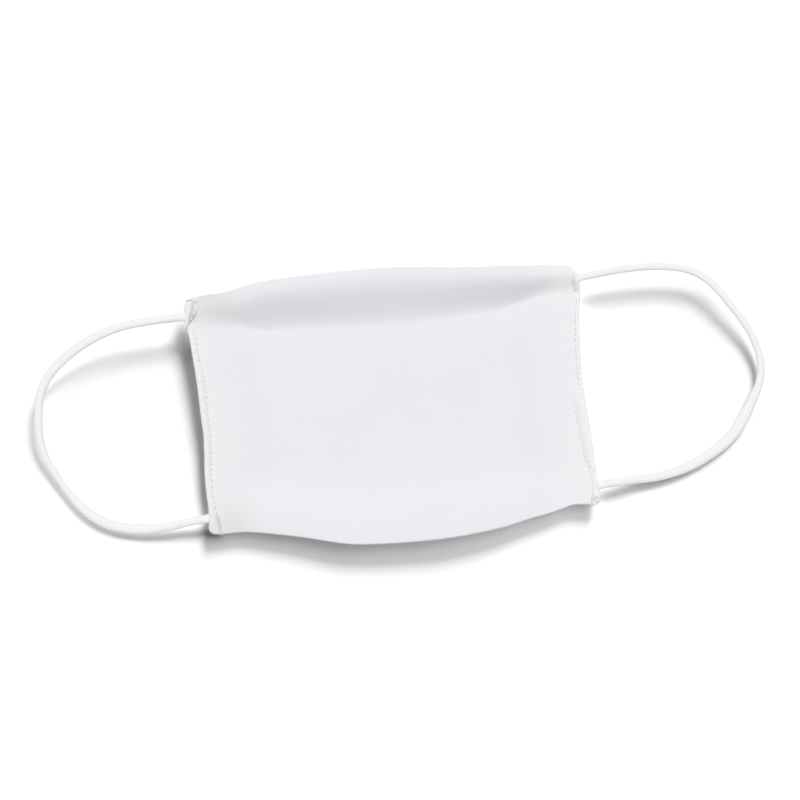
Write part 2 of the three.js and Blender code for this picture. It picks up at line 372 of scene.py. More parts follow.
def column_curve(rows, key, name):
    """Smooth line through one column of a table, read anywhere along its key column."""
    at, value = rows[key], rows[name]
    last = len(at) - 1
    before = np.maximum(np.arange(last + 1) - 1, 0)
    after = np.minimum(np.arange(last + 1) + 1, last)
    slope = (value[after] - value[before]) / (at[after] - at[before])

    def read(place):
        i = np.clip(np.searchsorted(at, place, side="right") - 1, 0, last - 1)
        length = at[i + 1] - at[i]
        t = np.clip((place - at[i]) / length, 0, 1)
        ease = t * t * (3 - 2 * t)
        bend = slope[i] * t * (1 - t) ** 2 - slope[i + 1] * t * t * (1 - t)
        return value[i] + (value[i + 1] - value[i]) * ease + bend * length

    return read


EDGE = {name: column_curve(SECTIONS, "x", name) for name in SECTIONS}
SIDE = {name: column_curve(SIDES, "y", name) for name in SIDES}
SEAM_OUT = {end: column_curve(rows, "x", "out") for end, rows in EDGE_OUT.items()}
TAB_END = {end: column_curve(TAB, "inward", end) for end in ("front", "back")}
STITCH_LINE = {side: column_curve(rows, "y", "inward") for side, rows in STITCHING.items()}


def corner(side, flat_y, name):
    """One size of a side's back or front corner, whichever is nearer."""
    return np.where(flat_y > 0, CORNERS[side, "back"][name], CORNERS[side, "front"][name])


def corner_inset(side, flat_y):
    """How far a side's edge draws in near a corner, where it is rounded."""
    radius = corner(side, flat_y, "radius")
    past = np.abs(flat_y) - (PANEL_DEPTH / 2 + corner(side, flat_y, "overrun") - radius)
    turn = np.clip(past / radius, 0, CORNER_TURN)
    return radius * (1 - np.sqrt(1 - turn * turn))


def side_line(side, flat_y):
    """The x of a side's edge on the laid cloth."""
    outward = -1 if side == "left" else 1
    bulge = sum(out * np.exp(-((flat_y - y) / length) ** 2)
                for y, out, length in zip(*BULGES[side].values()))
    return SIDE[side](flat_y) + outward * (bulge - corner_inset(side, flat_y))


def curl(distance, reach):
    """0 at the reach from an edge, rising smoothly to 1 at the edge."""
    return smoothstep(reach - distance, 0, reach)


def ridge(distance, reach):
    """0 at the reach from the back edge, 1 at the crest just inside it, and a little less at it."""
    climb = smoothstep(reach - distance, 0, reach - RIDGE_CREST)
    past = np.maximum(RIDGE_CREST - distance, 0) / RIDGE_CREST
    return climb - RIDGE_DROOP * past * past


def middle_surface(flat_x, flat_y):
    """Points of the laid cloth's middle surface, as in the part's source but for the corners and
    the seams."""
    across = flat_x / PANEL_WIDTH + 0.5
    along = flat_y / PANEL_DEPTH + 0.5
    left, right = side_line("left", flat_y), side_line("right", flat_y)
    front, back = EDGE["front"](flat_x), EDGE["back"](flat_x)
    x = left + (right - left) * across
    y = front + (back - front) * along
    rises = (
        EDGE["ridge"](flat_x) * ridge(back - y, EDGE["reach"](flat_x)),
        EDGE["lift"](flat_x) * curl(y - front, FRONT_REACH),
        SIDE["left_lift"](flat_y) * curl(x - left, SIDE_REACH),
        SIDE["right_lift"](flat_y) * curl(right - x, SIDE_REACH),
    )
    rise = np.cbrt(sum(height ** 3 for height in rises))
    seam = (SEAM_OUT["back"](flat_x) * smoothstep(along, BACK_SEAM_FROM, 1)
            - SEAM_OUT["front"](flat_x) * (1 - smoothstep(along, 0, FRONT_SEAM_TO)))
    return np.stack([x, y + seam, rise + CLOTH_HALF], -1)


def noise_field(x, y, size, seed):
    """Smooth noise, about -1 to 1, whose patches are about size across."""
    places = zip(np.ravel(x) / size, np.ravel(y) / size)
    values = [noise.noise(Vector((a, b, seed))) for a, b in places]
    return np.reshape(values, np.shape(x))


def relief(flat_x, flat_y):
    """Unevenness of the laid cloth: soft waves that only rise, and puckers drawn in by the side
    stitching."""
    waves = sum(height * noise_field(flat_x, flat_y, size, seed)
                for height, size, seed in zip(*WAVES.values()))
    raised = (waves + np.sqrt(waves ** 2 + WAVE_ROUNDING)) / 2
    from_side = PANEL_WIDTH / 2 - np.abs(flat_x)
    slanted_y = flat_y - PUCKER_SLANT * np.abs(flat_x)
    ripple = noise_field(from_side / PUCKER_STRETCH, slanted_y, PUCKER_PITCH, PUCKER_SEED)
    fade = np.exp(-np.maximum(from_side - PUCKER_START, 0) / PUCKER_FADE)
    return raised + PUCKER_HEIGHT * fade * ripple


def cloth_points(flat_x, flat_y, up):
    """Points at a height above the uneven cloth's middle surface, square to it."""
    flat_x, flat_y, up = np.broadcast_arrays(*(np.asarray(a, float) for a in (flat_x, flat_y, up)))
    step = 0.3  # either way, for the slope
    across = middle_surface(flat_x + step, flat_y) - middle_surface(flat_x - step, flat_y)
    along = middle_surface(flat_x, flat_y + step) - middle_surface(flat_x, flat_y - step)
    normal = np.cross(across, along)
    normal /= np.linalg.norm(normal, axis=-1, keepdims=True)
    height = up + relief(flat_x, flat_y)
    return middle_surface(flat_x, flat_y) + normal * height[..., None]


def side_x(side, inward):
    """The flat x of a place inward from one side's edge."""
    return (inward - PANEL_WIDTH / 2) * (1 if side == "left" else -1)


def side_points(side, inward, flat_y, up):
    """Points of the cloth at places inward from one side's edge."""
    return cloth_points(side_x(side, inward), flat_y, up)


# ---- Heights of the panel, the hems and the tab ------------------------------

def stitch_inward(side, flat_y):
    """How far inward from the edge a hem is stitched down."""
    return np.maximum(STITCH_LINE[side](flat_y) - corner_inset(side, flat_y), LEAST_STITCH_INWARD)


def past_stitches(flat_x, flat_y):
    """How far a place of the panel lies inward of the nearer side's stitching."""
    inward = PANEL_WIDTH / 2 - np.abs(flat_x)
    line = np.where(flat_x < 0, stitch_inward("left", flat_y), stitch_inward("right", flat_y))
    return inward - line


def pinch(from_line, flat_y):
    """How far the stitching draws the cloth down beside its line, most where a stitch goes in."""
    tightness = 1 - PINCH_VARIES + PINCH_VARIES * np.cos(2 * np.pi * flat_y / STITCH_PITCH)
    return PINCH_DEPTH * tightness * np.exp(-(from_line / PINCH_WIDTH) ** 2)


def panel_top(flat_x, flat_y):
    """Height of the panel's faces, drawn in along both lines of stitching."""
    return CLOTH_HALF - pinch(past_stitches(flat_x, flat_y), flat_y)


def hem_end(side, flat_y):
    """How much of its height a hem keeps near its rounded ends."""
    limit = PANEL_DEPTH / 2 + corner(side, flat_y, "overrun")
    kept = rounded(limit - np.abs(flat_y), HEM_END_ROUND)
    return HEM_END_LEAST + (1 - HEM_END_LEAST) * kept


def hem_top(side, inward, flat_y):
    """Height of a hem's upper face: round at the outer fold, full between, and drawn down at its
    stitching."""
    line = stitch_inward(side, flat_y)
    body = HEM_OUTSIDE + HEM_FULLNESS * np.sin(np.pi * np.clip(inward / line, 0, 1))
    fall = HEM_FALL * np.maximum(inward - line, 0)
    valley = CLOTH_HALF - pinch(0, flat_y) + HEM_OVER_STITCHES - fall
    top = body + (valley - body) * smoothstep(inward, line - HEM_SLOPE, line)
    return top * rounded(inward, HEM_FOLD) * hem_end(side, flat_y)


def hem_under(side, inward, flat_y):
    """Depth of a hem's lower face, which ends in the cloth's free edge."""
    line = stitch_inward(side, flat_y)
    ply = HEM_PLY - pinch(inward - line, flat_y)
    free_edge = rounded(line + FREE_EDGE_PAST_STITCHES - inward, FREE_EDGE_ROUND)
    depth = HEM_INSIDE + ply * free_edge
    return depth * rounded(inward, HEM_FOLD) * hem_end(side, flat_y)


def tab_heights(inward, flat_y, from_end):
    """Heights of the folded tab's outer and inner faces: full over the hem, and thin where it
    lies on the panel."""
    line = stitch_inward("left", flat_y)
    on_hem = np.where(inward < line, hem_top("left", np.maximum(inward, 0), flat_y), 0)
    base = np.maximum(on_hem, CLOTH_HALF * rounded(inward, HEM_FOLD))
    over_hem, over_panel = HEM_OUTSIDE + TAB_PLY, CLOTH_HALF + TAB_PLY
    settled = smoothstep(inward, line - TAB_SETTLES_FROM, line + TAB_SETTLES_TO)
    full = over_hem + (over_panel - over_hem) * settled
    full = (full - pinch(inward - line, flat_y)) * rounded(inward - TAB["inward"][0], TAB_FOLD)
    under = TAB_SINKS * base
    kept = TAB_END_LEAST + (1 - TAB_END_LEAST) * rounded(from_end, TAB_END_ROUND)
    return under + np.maximum(full - under, TAB_LEAST_PLY) * kept, under


# ---- Meshes ------------------------------------------------------------------

def add_object(name, data):
    """A new object in the scene that shows the data."""
    item = bpy.data.objects.new(name, data)
    bpy.context.scene.collection.objects.link(item)
    return item


def mesh_piece(name, points, faces, corner_uv, material):
    """A smooth closed mesh from points in millimetres, with each face corner's UV place."""
    mesh = bpy.data.meshes.new(name)
    mesh.from_pydata((np.reshape(points, (-1, 3)) * MM).tolist(), [], faces)
    layer = mesh.uv_layers.new(name="flat")
    layer.uv.foreach_set("vector", np.asarray(corner_uv, np.float32).ravel())
    shape = bmesh.new()
    shape.from_mesh(mesh)
    bmesh.ops.recalc_face_normals(shape, faces=shape.faces)
    shape.to_mesh(mesh)
    shape.free()
    mesh.shade_smooth()
    mesh.materials.append(material)
    piece = add_object(name, mesh)
    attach(piece, "root")
    return piece


def grid_faces(first, rows, columns):
    """Quads of a grid of points numbered row by row from first."""
    j, i = np.meshgrid(np.arange(rows - 1), np.arange(columns - 1), indexing="ij")
    start = (first + j * columns + i).ravel()
    return np.stack([start, start + 1, start + columns + 1, start + columns], -1)


def edge_ring(rows, columns):
    """The places round a grid's edge as row and column numbers: front, right, back, then left."""
    front = [(0, i) for i in range(columns - 1)]
    right = [(j, columns - 1) for j in range(rows - 1)]
    back = [(rows - 1, i) for i in range(columns - 1, 0, -1)]
    left = [(j, 0) for j in range(rows - 1, 0, -1)]
    return np.array(front + right + back + left)


def band(upper, lower):
    """Quads between two closed rings of point numbers."""
    return np.stack([upper, lower, np.roll(lower, -1), np.roll(upper, -1)], -1)


def shell(name, outside, inside, outside_flat, inside_flat, material):
    """A closed wall between an outside and an inside grid of points of one size."""
    rows, columns = outside.shape[:2]
    size = rows * columns
    ring = edge_ring(rows, columns)
    edge = ring[:, 0] * columns + ring[:, 1]
    walls = [grid_faces(0, rows, columns), grid_faces(size, rows, columns), band(edge, edge + size)]
    faces = np.concatenate(walls)
    points = np.concatenate([outside.reshape(-1, 3), inside.reshape(-1, 3)])
    flat = np.concatenate([outside_flat.reshape(-1, 2), inside_flat.reshape(-1, 2)])
    return mesh_piece(name, points, faces.tolist(), flat[faces.ravel()], material)


def crowded(count):
    """Places from 0 to 1, about even, with a few more close to both ends."""
    even = np.linspace(0, 1, count)
    return even - CROWDING * np.sin(2 * np.pi * even) / (2 * np.pi)


def spread_to_ends(count):
    """Places from 0 to 1 that lie closer together towards both ends."""
    return (1 - np.cos(np.linspace(0, np.pi, count))) / 2


def bordered(half, border, fine, coarse):
    """Places from -half to half, a fine step apart within a border at each end and a coarse step
    between."""
    inner = half - border
    edge_steps, middle_steps = round(border / fine), round(2 * inner / coarse)
    return np.concatenate([
        np.linspace(-half, -inner, edge_steps, endpoint=False),
        np.linspace(-inner, inner, middle_steps, endpoint=False),
        np.linspace(inner, half, edge_steps + 1),
    ])


def swept_tube(line, section, width, height):
    """Rings of points round a line: section gives unit places, width lies level and height stands
    on it."""
    along = np.gradient(line, axis=0)
    along /= np.linalg.norm(along, axis=1, keepdims=True)
    level = np.cross(along, [0, 0, 1])
    level /= np.linalg.norm(level, axis=1, keepdims=True)
    stand = np.cross(level, along)
    size = np.stack(np.broadcast_arrays(width, height, along[:, 0])[:2], -1) / 2
    place = section[None] * size[:, None, :]
    return line[:, None] + place[..., :1] * level[:, None] + place[..., 1:] * stand[:, None]


def tube_faces(rings, around):
    """Faces of a tube with closed ends, and each face corner's ring and place round it."""
    i, k = np.meshgrid(np.arange(rings - 1), np.arange(around), indexing="ij")
    i, k = i.ravel(), k.ravel()
    places = np.stack([np.stack([i, k], -1), np.stack([i, k + 1], -1),
                       np.stack([i + 1, k + 1], -1), np.stack([i + 1, k], -1)], 1)
    sides = places[..., 0] * around + places[..., 1] % around
    ends = [list(range(around)), list(range((rings - 1) * around, rings * around))]
    end_places = [(i, k) for i in (0, rings - 1) for k in range(around)]
    return sides.tolist() + ends, np.concatenate([places.reshape(-1, 2), end_places])


def unit_circle(count):
    """Places round a circle of radius 1."""
    angle = 2 * np.pi * np.arange(count) / count
    return np.stack([np.cos(angle), np.sin(angle)], -1)


# ---- Materials ---------------------------------------------------------------

class Shading:
    """A cloth-like material and its nodes. The methods add nodes and give what comes out of them,
    and what goes in may be a number, a colour, a place, or what another node gives."""

    def __init__(self, name, roughness, sheen=0.1):
        self.material = bpy.data.materials.new(name)
        self.material.use_nodes = True
        self.tree = self.material.node_tree
        self.shader = self.tree.nodes["Principled BSDF"].inputs
        self.shader["Roughness"].default_value = roughness
        self.shader["Specular IOR Level"].default_value = SPECULAR
        self.shader["Sheen Weight"].default_value = sheen
        self.shader["Sheen Roughness"].default_value = SHEEN_ROUGHNESS

    def feed(self, socket, value):
        """Links what another node gives to a socket, or sets the socket to a value."""
        if isinstance(value, bpy.types.NodeSocket):
            self.tree.links.new(value, socket)
        else:
            socket.default_value = (*value, 1) if socket.type == "RGBA" else value

    def node(self, kind, inputs, output=0, **settings):
        """What one output of a new node gives, with the node's properties set and inputs fed."""
        node = self.tree.nodes.new("ShaderNode" + kind)
        for key, value in settings.items():
            setattr(node, key, value)
        for key, value in inputs.items():
            self.feed(node.inputs[key], value)
        return node.outputs[output]

    def flat(self):
        """The UV place: millimetres on cloth and elastic, and from -1 to 1 along a thread."""
        return self.node("UVMap", {}, uv_map="flat")

    def from_middle(self, place):
        """How far a place is from x = 0."""
        return self.calc("ABSOLUTE", self.node("SeparateXYZ", {"Vector": place}, "X"))

    def calc(self, operation, *values):
        """Numbers put through one operation of the Math node."""
        return self.node("Math", dict(enumerate(values)), operation=operation)

    def lines(self, place, pitch, distortion, detail_scale=1.0, across="X"):
        """Soft parallel lines a pitch apart. The texture repeats 20 times in 2 pi at scale 1."""
        inputs = {"Vector": place, "Scale": 2 * math.pi / 20 / pitch, "Distortion": distortion,
                  "Detail Scale": detail_scale}
        return self.node("TexWave", inputs, "Fac", bands_direction=across)

    def cloud(self, place, scale, detail=2.0, roughness=0.5):
        """Soft uneven patches, from 0 to 1."""
        inputs = {"Vector": place, "Scale": scale, "Detail": detail, "Roughness": roughness}
        return self.node("TexNoise", inputs, "Fac")

    def ramp(self, value, low, high, at_low=0.0, at_high=1.0, curve="LINEAR"):
        """A number that goes from at_low to at_high as the value goes from low to high."""
        inputs = {"Value": value, "From Min": low, "From Max": high, "To Min": at_low,
                  "To Max": at_high}
        return self.node("MapRange", inputs, interpolation_type=curve)

    def mix(self, share, first, second, blend="MIX"):
        """Two colours mixed, by the share that the second has."""
        inputs = {0: share, 6: first, 7: second}
        return self.node("Mix", inputs, 2, data_type="RGBA", blend_type=blend)

    def finish(self, colour, height, depth):
        """The material, given its colour, its surface's height and how deep that is."""
        inputs = {"Strength": BUMP_STRENGTH, "Distance": depth * MM, "Height": height}
        self.feed(self.shader["Normal"], self.node("Bump", inputs))
        self.feed(self.shader["Base Color"], colour)
        return self.material


def twill_material(name, cool, warm, fold, corner_shade):
    """White polyester twill: slanting lines that show most beside the hems, with painted shade in
    their grooves, faint cool and warm patches, painted light on the sides and a painted highlight
    at the folds, and painted shade at the corners."""
    nodes = Shading(name, roughness=0.9)
    flat = nodes.flat()
    from_middle = nodes.from_middle(flat)
    # The twill's lines, stronger beside the hems and in loose patches
    slant = (0, 0, math.radians(TWILL_SLANT))
    turned = nodes.node("Mapping", {"Vector": flat, "Rotation": slant})
    slanting = nodes.lines(turned, TWILL_PITCH, distortion=1.6, detail_scale=0.35)
    loose = nodes.cloud(flat, scale=0.07)
    near_side = nodes.ramp(from_middle, **TWILL_GROWS, at_high=TWILL_BESIDE_HEM)
    uneven = nodes.ramp(loose, low=0.4, high=0.6, at_low=0.25)
    beside = nodes.calc("MULTIPLY", near_side, uneven)
    in_patches = nodes.ramp(loose, low=0.45, high=0.65, at_low=0.12, at_high=0.4)
    raised = nodes.calc("MULTIPLY", slanting, nodes.calc("MAXIMUM", beside, in_patches))
    # The surface's height, with the yarns that cross those lines, and fuzz
    yarns = nodes.lines(flat, YARN_PITCH, distortion=0.8, detail_scale=1.5)
    woven = nodes.calc("MULTIPLY_ADD", yarns, YARN_HEIGHT, raised)
    fuzz = nodes.cloud(flat, scale=2.2, detail=3.0, roughness=0.6)
    height = nodes.calc("MULTIPLY_ADD", fuzz, FUZZ_HEIGHT, woven)
    # Its colour, cool and warm in patches, with painted light beside the hems and a painted
    # highlight at the folds
    patches = nodes.ramp(nodes.cloud(flat, scale=0.03), low=0.38, high=0.62)
    light_beside_hem = nodes.ramp(from_middle, **PAINTED_LIGHT_BESIDE_HEM)
    highlight_at_fold = nodes.ramp(from_middle, **PAINTED_HIGHLIGHT_AT_FOLD)
    painted_light = nodes.calc("MAXIMUM", light_beside_hem, highlight_at_fold)
    colour = nodes.mix(painted_light, nodes.mix(patches, cool, warm), fold)
    # Painted shade: the cloth is painted darker near the corners
    for x, y, reach, share in zip(*PAINTED_CORNER_SHADE.values()):
        ends = {0: flat, 1: (x, y, 0)}
        distance = nodes.node("VectorMath", ends, "Value", operation="DISTANCE")
        amount = nodes.ramp(distance, 0.0, reach, at_low=share, at_high=0.0, curve="SMOOTHSTEP")
        colour = nodes.mix(amount, colour, corner_shade)
    # Painted shade: the cloth is darker where the twill's lines dip
    painted_groove_shade = nodes.ramp(raised, 0.0, TWILL_BESIDE_HEM, at_low=TWILL_PAINTED_SHADE)
    colour = nodes.mix(1.0, colour, painted_groove_shade, blend="MULTIPLY")
    return nodes.finish(colour, height, TWILL_RELIEF)


def elastic_material(name, groove_shade, crest):
    """Warm white elastic, with painted shade in the grooves between its lengthwise ribs, and a
    faint knit across them."""
    nodes = Shading(name, roughness=0.75)
    flat = nodes.flat()
    rib_pitch = ELASTIC_ROUND / ELASTIC_RIBS
    ribs = nodes.lines(flat, rib_pitch, distortion=0.5, detail_scale=0.4, across="Y")
    knit = nodes.lines(flat, KNIT_PITCH, distortion=1.5, detail_scale=0.7, across="DIAGONAL")
    ribbed = nodes.calc("MULTIPLY_ADD", knit, KNIT_HEIGHT, ribs)
    fuzz = nodes.cloud(flat, scale=2.0, detail=3.0, roughness=0.6)
    height = nodes.calc("MULTIPLY_ADD", fuzz, ELASTIC_FUZZ, ribbed)
    return nodes.finish(nodes.mix(ribbed, groove_shade, crest), height, ELASTIC_RELIEF)


def thread_material(name, end_shade, middle_colour):
    """Sewing thread, with painted shade at its ends, where each stitch goes into the cloth."""
    nodes = Shading(name, roughness=0.6)
    flat = nodes.flat()
    twist = nodes.lines(flat, TWIST_PITCH, distortion=0.2, across="DIAGONAL")
    shade_at_end = nodes.ramp(nodes.from_middle(flat), low=0.45, high=1.0)
    colour = nodes.mix(shade_at_end, middle_colour, end_shade)
    return nodes.finish(colour, twist, THREAD_RELIEF)


# ---- Cloth pieces ------------------------------------------------------------

def make_panel(material):
    """The panel: both layers on one uneven surface, joined round their edge by rolled lips."""
    half_width = PANEL_WIDTH / 2 - PANEL_INSET
    half_depth = PANEL_DEPTH / 2
    flat_x = bordered(half_width - LIP_RADIUS, PANEL_BORDER, fine=0.35, coarse=1.4)
    flat_y = bordered(half_depth - LIP_RADIUS, PANEL_BORDER, fine=0.6, coarse=0.6)

    def tucked(x, y):
        """Places whose ends under the hems stop short of the hems' ends."""
        under_hem = smoothstep(-past_stitches(x, y), 0, TUCK_SLOPE)
        return x, y * (1 - HEM_TUCK / half_depth * under_hem)

    x, y = tucked(*np.meshgrid(flat_x, flat_y))
    top = panel_top(x, y)
    points = [cloth_points(x, y, top).reshape(-1, 3), cloth_points(x, y, -top).reshape(-1, 3)]
    flat = [np.stack([x, y], -1).reshape(-1, 2)] * 2
    # Each lip turns from the face, round the edge, to the groove between the layers
    rows, columns = x.shape
    ring = edge_ring(rows, columns)
    ring_x, ring_y = flat_x[ring[:, 1]], flat_y[ring[:, 0]]
    outward_x = (ring[:, 1] == columns - 1) * 1 - (ring[:, 1] == 0) * 1
    outward_y = (ring[:, 0] == rows - 1) * 1 - (ring[:, 0] == 0) * 1
    turns = np.radians(LIP_TURNS)
    lip = [(LIP_RADIUS * math.sin(turn), LIP_RADIUS * (1 + math.cos(turn))) for turn in turns]
    rim = lip + [(GROOVE_DEPTH, 0.0)] + [(out, -up) for out, up in reversed(lip)]
    for out, up in rim:
        place_x, place_y = tucked(ring_x + out * outward_x, ring_y + out * outward_y)
        points.append(cloth_points(place_x, place_y, up))
        flat.append(np.stack([place_x, place_y], -1))
    size, around = rows * columns, len(ring)
    upper = ring[:, 0] * columns + ring[:, 1]
    between = [2 * size + k * around + np.arange(around) for k in range(len(rim))]
    levels = [upper] + between + [upper + size]
    faces = [grid_faces(0, rows, columns), grid_faces(size, rows, columns)]
    faces += [band(above, below) for above, below in zip(levels, levels[1:])]
    faces = np.concatenate(faces)
    corner_uv = np.concatenate(flat)[faces.ravel()]
    return mesh_piece("cloth_panel", np.concatenate(points), faces.tolist(), corner_uv, material)


def hem_inside(inward):
    """Height of a hem's inner face, which goes round the panel's side."""
    return HEM_INSIDE * rounded(inward - (PANEL_INSET - HEM_TURN), HEM_TURN)


def folded_flat(side, inward, flat_y):
    """The UV places of cloth folded round a side, as they would lie flat on the panel."""
    return np.stack([side_x(side, inward), flat_y], -1)


def make_hem(side, material):
    """A side hem: one wall of cloth folded round the panel's side, over it and back under it."""
    front_end = PANEL_DEPTH / 2 + CORNERS[side, "front"]["overrun"]
    back_end = PANEL_DEPTH / 2 + CORNERS[side, "back"]["overrun"]
    y = (-front_end + (front_end + back_end) * crowded(HEM_STATIONS))[:, None]
    shares = spread_to_ends(HEM_PLACES)
    start = PANEL_INSET - HEM_TURN
    halves = []
    for face, past, height in ((1, HEM_PAST_STITCHES, hem_top),
                               (-1, FREE_EDGE_PAST_STITCHES, hem_under)):
        share = shares[::-1] if face > 0 else shares[1:]
        reach = stitch_inward(side, y) + past
        outer, inner = share * reach, start + share * (reach - start)
        flat_y = y + 0 * outer
        inner_height = np.minimum(hem_inside(inner), height(side, inner, y) - LEAST_PLY)
        halves.append((side_points(side, outer, flat_y, face * height(side, outer, y)),
                       side_points(side, inner, flat_y, face * inner_height),
                       folded_flat(side, outer, flat_y), folded_flat(side, inner, flat_y)))
    grids = (np.concatenate(grid, 1) for grid in zip(*halves))
    return shell("hem_" + side, *grids, material)


def make_tab(material):
    """The tab of cloth folded round the left side's back corner, over the hem and a little way
    under it."""
    inner_end, fold = TAB["inward"][-1], TAB["inward"][0]
    upper = fold + (inner_end - fold) * spread_to_ends(TAB_PLACES_OVER)[::-1]
    lower = fold + (TAB_UNDER_END - fold) * spread_to_ends(TAB_PLACES_UNDER)[1:]
    inward = np.concatenate([upper, lower])[None]
    face = np.concatenate([np.ones(len(upper)), -np.ones(len(lower))])
    share = spread_to_ends(TAB_STATIONS)[:, None]
    front, back = TAB_END["front"](inward), TAB_END["back"](inward)
    flat_y = front + (back - front) * share
    from_end = (back - front) * np.minimum(share, 1 - share)
    inward = inward + 0 * flat_y
    outer, under = tab_heights(inward, flat_y, from_end)
    thin = TAB_TIP_LEAST + (1 - TAB_TIP_LEAST) * smoothstep(inner_end - inward, 0, TAB_TIP)
    outer = under + (outer - under) * np.where(face > 0, thin, 1)
    outside = side_points("left", inward, flat_y, face * outer)
    inside = side_points("left", np.maximum(inward, TAB_INSIDE_START), flat_y, face * under)
    flat = folded_flat("left", inward, flat_y)
    return shell("corner_tab", outside, inside, flat, flat, material)


# ---- Thread pieces -----------------------------------------------------------

def surface_top(side, inward, flat_y):
    """Height of the upper surface near a side: on the hem, on the panel past it, or on the tab
    over them."""
    past = inward > stitch_inward(side, flat_y) + PANEL_PAST_STITCHES
    top = np.where(past, panel_top(side_x(side, inward), flat_y), hem_top(side, inward, flat_y))
    if side == "right":
        return top
    from_end = np.minimum(flat_y - TAB_END["front"](inward), TAB_END["back"](inward) - flat_y)
    on_tab = (from_end > 0) & (inward < TAB["inward"][-1])
    return np.where(on_tab, tab_heights(inward, flat_y, np.maximum(from_end, 0))[0], top)


def strand(side, places, radius, bow, lift=0.0, face=1):
    """A short run of thread through places (inward, y) on a side's upper face, or on its lower
    one where face is -1. It rises by bow between its ends, which dive in."""
    places = np.array(places, float)
    places[:, 0] -= corner_inset(side, places[:, 1])
    far = np.concatenate([[0], np.cumsum(np.linalg.norm(np.diff(places, axis=0), axis=1))])
    count = max(THREAD_LEAST_RINGS, int(far[-1] / THREAD_STEP))
    even = np.linspace(0, far[-1], count)
    inward, flat_y = (np.interp(even, far, places[:, k]) for k in (0, 1))
    t = np.linspace(-1, 1, count)
    rise = bow * (1 - t ** 4) - radius * t ** 4
    base = surface_top(side, inward, flat_y) if face > 0 else hem_under(side, inward, flat_y)
    return side_points(side, inward, flat_y, face * (base + lift + rise)), radius


def make_threads(name, strands, material):
    """One piece of many short round runs of thread, each closed at both ends. Its UV map goes
    from -1 to 1 along each run."""
    section = unit_circle(THREAD_SIDES)
    points, faces, uv, start = [], [], [], 0
    for line, radius in strands:
        tube = swept_tube(line, section, 2 * radius, 2 * radius)
        tube_sides, places = tube_faces(len(line), THREAD_SIDES)
        points.append(tube.reshape(-1, 3))
        faces += [[point + start for point in face] for face in tube_sides]
        along = places[:, 0] * 2 / (len(line) - 1) - 1
        uv.append(np.stack([along, places[:, 1] * THREAD_UV_SIDE], -1))
        start += len(line) * THREAD_SIDES
    threads = mesh_piece(name, np.concatenate(points), faces, np.concatenate(uv), material)
    return threads


def seam_strands(side):
    """The plain stitches along a hem, on the upper face and the lower one."""
    strands = []
    for low, high in STITCH_RUNS[side]:
        for number in range(math.ceil(low / STITCH_PITCH), math.floor(high / STITCH_PITCH)):
            middle = (number + 0.5) * STITCH_PITCH
            ends = [middle - STITCH_HALF, middle + STITCH_HALF]
            line = STITCH_LINE[side](np.array(ends))
            places = [(line[0] - STITCH_SLANT, ends[0]), (line[1] + STITCH_SLANT, ends[1])]
            for face in (1, -1):
                strands.append(strand(side, places, THREAD_RADIUS, STITCH_BOW, face=face))
    return strands


def tack_strands(side, rows):
    """A bar tack: crossings side by side, as wide as its table says, slanting to and fro."""
    line, width = column_curve(rows, "y", "inward"), column_curve(rows, "y", "width")
    strands = []
    for number, y in enumerate(np.arange(rows["y"][0], rows["y"][-1], TACK_PITCH)):
        slant = TACK_PITCH / 2 * (-1) ** number
        half = width(y) / 2
        places = [(line(y) - half, y - slant), (line(y) + half, y + slant)]
        lift = TACK_LIFT * width(y)
        strands.append(strand(side, places, TACK_THREAD_RADIUS, TACK_THREAD_RADIUS, lift))
    return strands


def ring_strand(side, inward, y, radius):
    """A loop of thread pulled up from the stitching."""
    turn = np.linspace(0, 2 * np.pi, RING_PLACES)
    places = np.stack([inward + radius * np.cos(turn), y + radius * np.sin(turn)], -1)
    return strand(side, places, THREAD_RADIUS, RING_BOW, RING_LIFT)


# ---- Ear loops ---------------------------------------------------------------

def catmull_rom(route, step):
    """Points a step apart along the smooth line through a route's points, centripetal as in the
    part's source."""
    p = np.concatenate([[2 * route[0] - route[1]], route, [2 * route[-1] - route[-2]]])
    t = np.linspace(0, 1, ROUTE_POINTS)[:, None]
    line = []
    for a, b, c, d in zip(p, p[1:], p[2:], p[3:]):
        before, here, after = (np.linalg.norm(v - u) ** 0.5 for u, v in ((a, b), (b, c), (c, d)))
        leave = ((b - a) / before - (c - a) / (before + here) + (c - b) / here) * here
        arrive = ((c - b) / here - (d - b) / (here + after) + (d - c) / after) * here
        line.append(b * (2 * t**3 - 3 * t**2 + 1) + c * (3 * t**2 - 2 * t**3)
                    + leave * (t**3 - 2 * t**2 + t) + arrive * (t**3 - t**2))
    line = np.concatenate(line)
    far = np.concatenate([[0], np.cumsum(np.linalg.norm(np.diff(line, axis=0), axis=1))])
    even = np.linspace(0, far[-1], int(far[-1] / step) + 1)
    return np.stack([np.interp(even, far, line[:, axis]) for axis in range(3)], -1)


